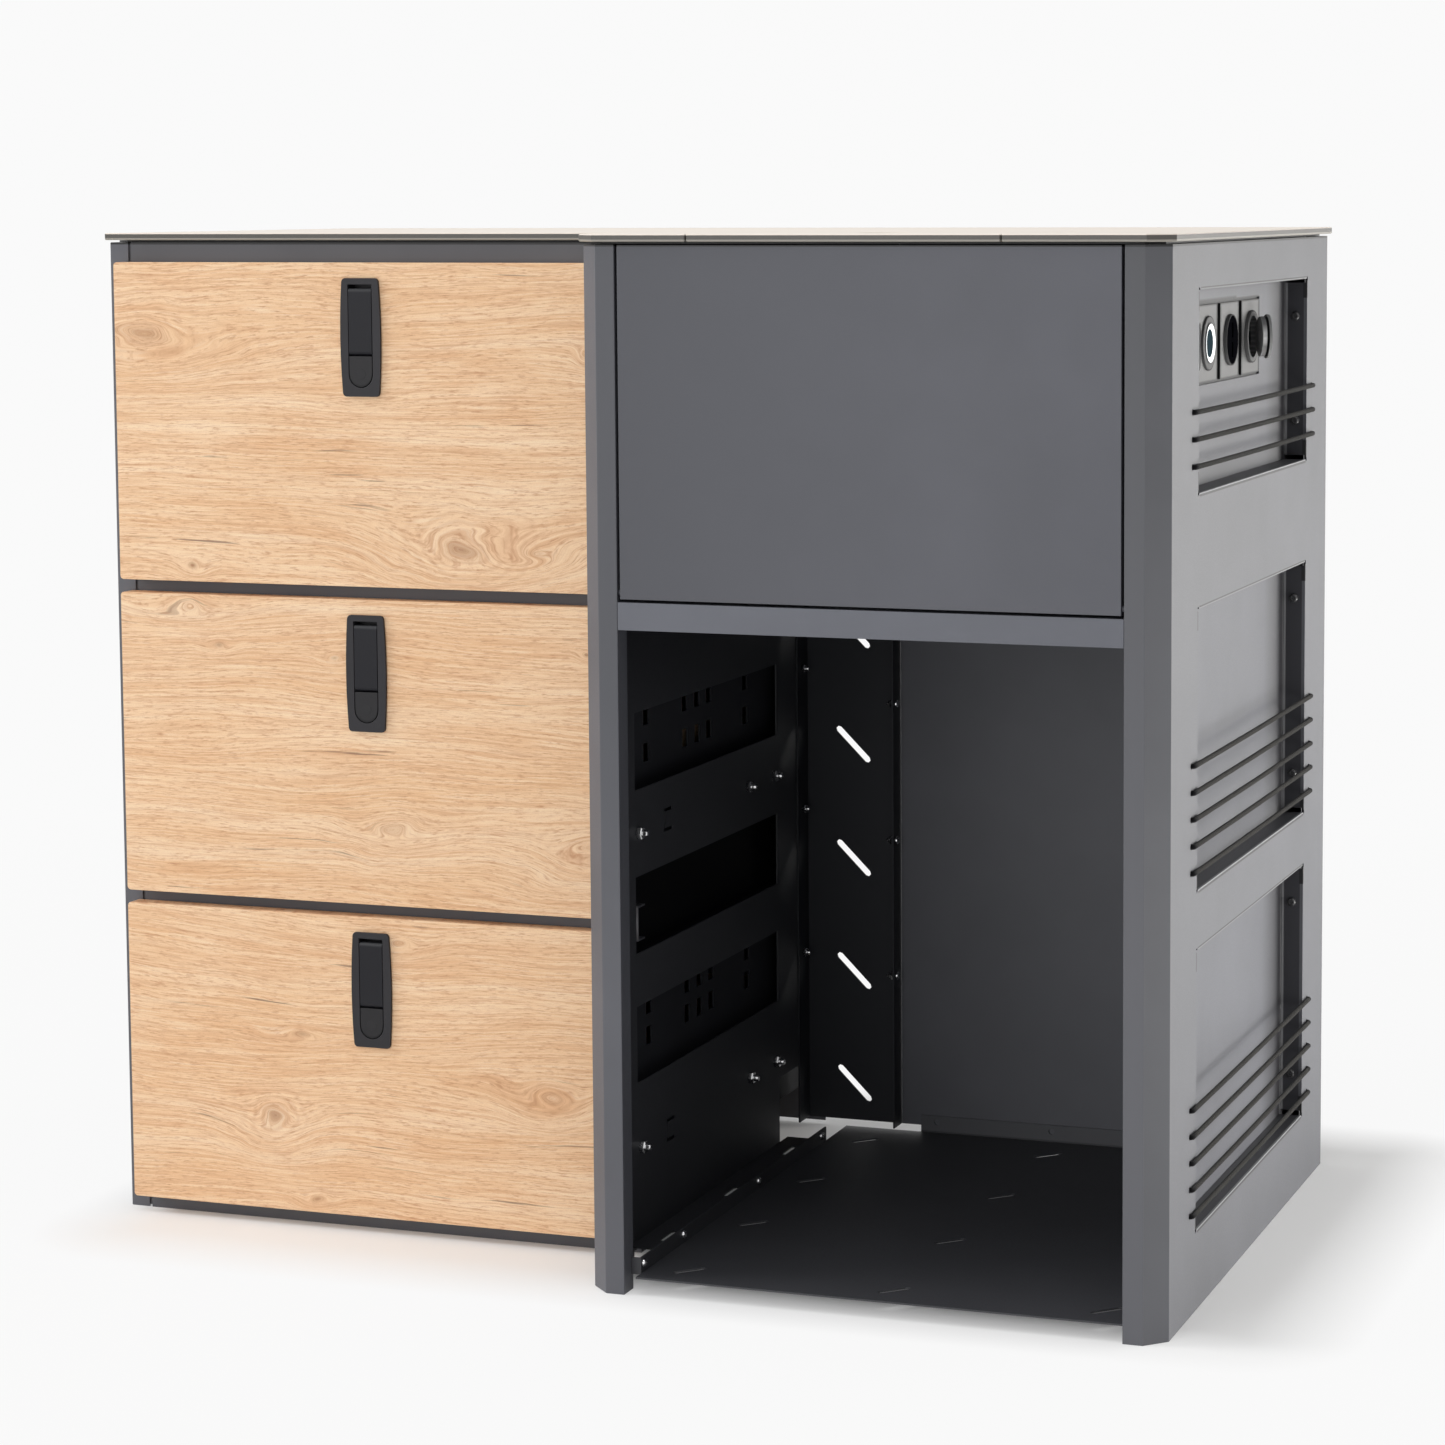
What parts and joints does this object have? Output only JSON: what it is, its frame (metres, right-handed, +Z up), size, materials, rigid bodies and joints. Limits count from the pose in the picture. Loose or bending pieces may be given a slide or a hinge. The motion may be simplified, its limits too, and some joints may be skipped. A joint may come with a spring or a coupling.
{
  "type": "campervan kitchen pod",
  "caption": "Stepped campervan kitchen cabinet: latched wooden drawers beside a fridge bay, with a drop-down flap, laced side pockets and a power panel.",
  "frame": {"origin": "on the floor, under the middle of the worktop", "axes": "+X to the right seen from the front, +Y to the back, +Z up"},
  "size_m": [0.9913, 0.596, 0.87],
  "materials": {
    "powder_coat": "fine-textured anthracite powder coat on folded sheet",
    "oak": "natural oak with a horizontal grain, matt",
    "laminate": "cream compact laminate, satin, with a dark core at the edge",
    "plywood": "clear-lacquered plywood",
    "black_plastic": "moulded black, fine grain",
    "grey_plastic": "moulded grey, fine grain",
    "zinc": "zinc-plated",
    "elastic": "braided elastic cord, matt"
  },
  "bodies": {
    "carcass": {"base_rail": "powder_coat", "bay_back_panel": "powder_coat", "bay_floor": "powder_coat", "bay_shelf": "powder_coat", "bay_vent_panel": "powder_coat", "divider_panel": "powder_coat", "drawer_back_panel": "powder_coat", "drawer_bottom_rail": "powder_coat", "drawer_inner_panel": "powder_coat", "drawer_lower_rail": "powder_coat", "drawer_top_rail": "powder_coat", "drawer_upper_rail": "powder_coat", "front_12v_socket": "black_plastic", "left_column": "powder_coat", "left_side_panel": "powder_coat", "lit_ring_switch": "grey_plastic", "pocket_back_panel": "powder_coat", "power_panel": "grey_plastic", "rear_12v_socket": "black_plastic", "right_side_panel": "powder_coat", "usb_socket": "black_plastic", "worktop": "laminate", "worktop_frame": "powder_coat", "upper_drawer_outer_rail_left": "zinc", "upper_drawer_outer_rail_right": "zinc", "middle_drawer_outer_rail_left": "zinc", "middle_drawer_outer_rail_right": "zinc", "lower_drawer_outer_rail_left": "zinc", "lower_drawer_outer_rail_right": "zinc", "upper_pocket_cord": "elastic", "middle_pocket_cord": "elastic", "lower_pocket_cord": "elastic"},
    "upper_drawer": {"upper_drawer_front": "oak", "upper_drawer_box": "plywood", "upper_drawer_inner_rail_left": "zinc", "upper_drawer_inner_rail_right": "zinc", "upper_latch_housing": "black_plastic"},
    "upper_lever": {"upper_latch_lever": "black_plastic"},
    "upper_button": {"upper_latch_button": "black_plastic"},
    "middle_drawer": {"middle_drawer_front": "oak", "middle_drawer_box": "plywood", "middle_drawer_inner_rail_left": "zinc", "middle_drawer_inner_rail_right": "zinc", "middle_latch_housing": "black_plastic"},
    "middle_lever": {"middle_latch_lever": "black_plastic"},
    "middle_button": {"middle_latch_button": "black_plastic"},
    "lower_drawer": {"lower_drawer_front": "oak", "lower_drawer_box": "plywood", "lower_drawer_inner_rail_left": "zinc", "lower_drawer_inner_rail_right": "zinc", "lower_latch_housing": "black_plastic"},
    "lower_lever": {"lower_latch_lever": "black_plastic"},
    "lower_button": {"lower_latch_button": "black_plastic"},
    "flap": {"front_flap": "powder_coat"},
    "lid": {"worktop_lid": "laminate"},
    "front_cap": {"front_socket_cap": "black_plastic"},
    "rear_cap": {"rear_socket_cap": "black_plastic"}
  },
  "joints": [
    {"name": "upper_drawer_slide", "type": "slide", "parent": "carcass", "child": "upper_drawer", "axis": [0, -1, 0], "range_m": [0, 0.33]},
    {"name": "upper_lever_hinge", "type": "hinge", "parent": "upper_drawer", "child": "upper_lever", "pos_m": [-0.2406, -0.1918, 0.7694], "axis": [1, 0, 0], "range_deg": [0, 40], "stiffness_Nm_per_rad": 0.03},
    {"name": "upper_button_press", "type": "slide", "parent": "upper_drawer", "child": "upper_button", "axis": [0, 1, 0], "range_m": [0, 0.0025], "stiffness_N_per_m": 400},
    {"name": "middle_drawer_slide", "type": "slide", "parent": "carcass", "child": "middle_drawer", "axis": [0, -1, 0], "range_m": [0, 0.33]},
    {"name": "middle_lever_hinge", "type": "hinge", "parent": "middle_drawer", "child": "middle_lever", "pos_m": [-0.2406, -0.1918, 0.4806], "axis": [1, 0, 0], "range_deg": [0, 40], "stiffness_Nm_per_rad": 0.03},
    {"name": "middle_button_press", "type": "slide", "parent": "middle_drawer", "child": "middle_button", "axis": [0, 1, 0], "range_m": [0, 0.0025], "stiffness_N_per_m": 400},
    {"name": "lower_drawer_slide", "type": "slide", "parent": "carcass", "child": "lower_drawer", "axis": [0, -1, 0], "range_m": [0, 0.33]},
    {"name": "lower_lever_hinge", "type": "hinge", "parent": "lower_drawer", "child": "lower_lever", "pos_m": [-0.2406, -0.1918, 0.2041], "axis": [1, 0, 0], "range_deg": [0, 40], "stiffness_Nm_per_rad": 0.03},
    {"name": "lower_button_press", "type": "slide", "parent": "lower_drawer", "child": "lower_button", "axis": [0, 1, 0], "range_m": [0, 0.0025], "stiffness_N_per_m": 400},
    {"name": "flap_hinge", "type": "hinge", "parent": "carcass", "child": "flap", "pos_m": [0.247, -0.2895, 0.581], "axis": [1, 0, 0], "range_deg": [0, 90]},
    {"name": "lid_lift", "type": "slide", "parent": "carcass", "child": "lid", "axis": [0, 0, 1], "range_m": [0, 0.06]},
    {"name": "front_cap_hinge", "type": "hinge", "parent": "carcass", "child": "front_cap", "pos_m": [0.4765, -0.135, 0.7785], "axis": [0, 0, 1], "range_deg": [-16, 130]},
    {"name": "rear_cap_hinge", "type": "hinge", "parent": "carcass", "child": "rear_cap", "pos_m": [0.4765, 0.096, 0.7785], "axis": [0, 0, 1], "range_deg": [-24, 116]}
  ]
}
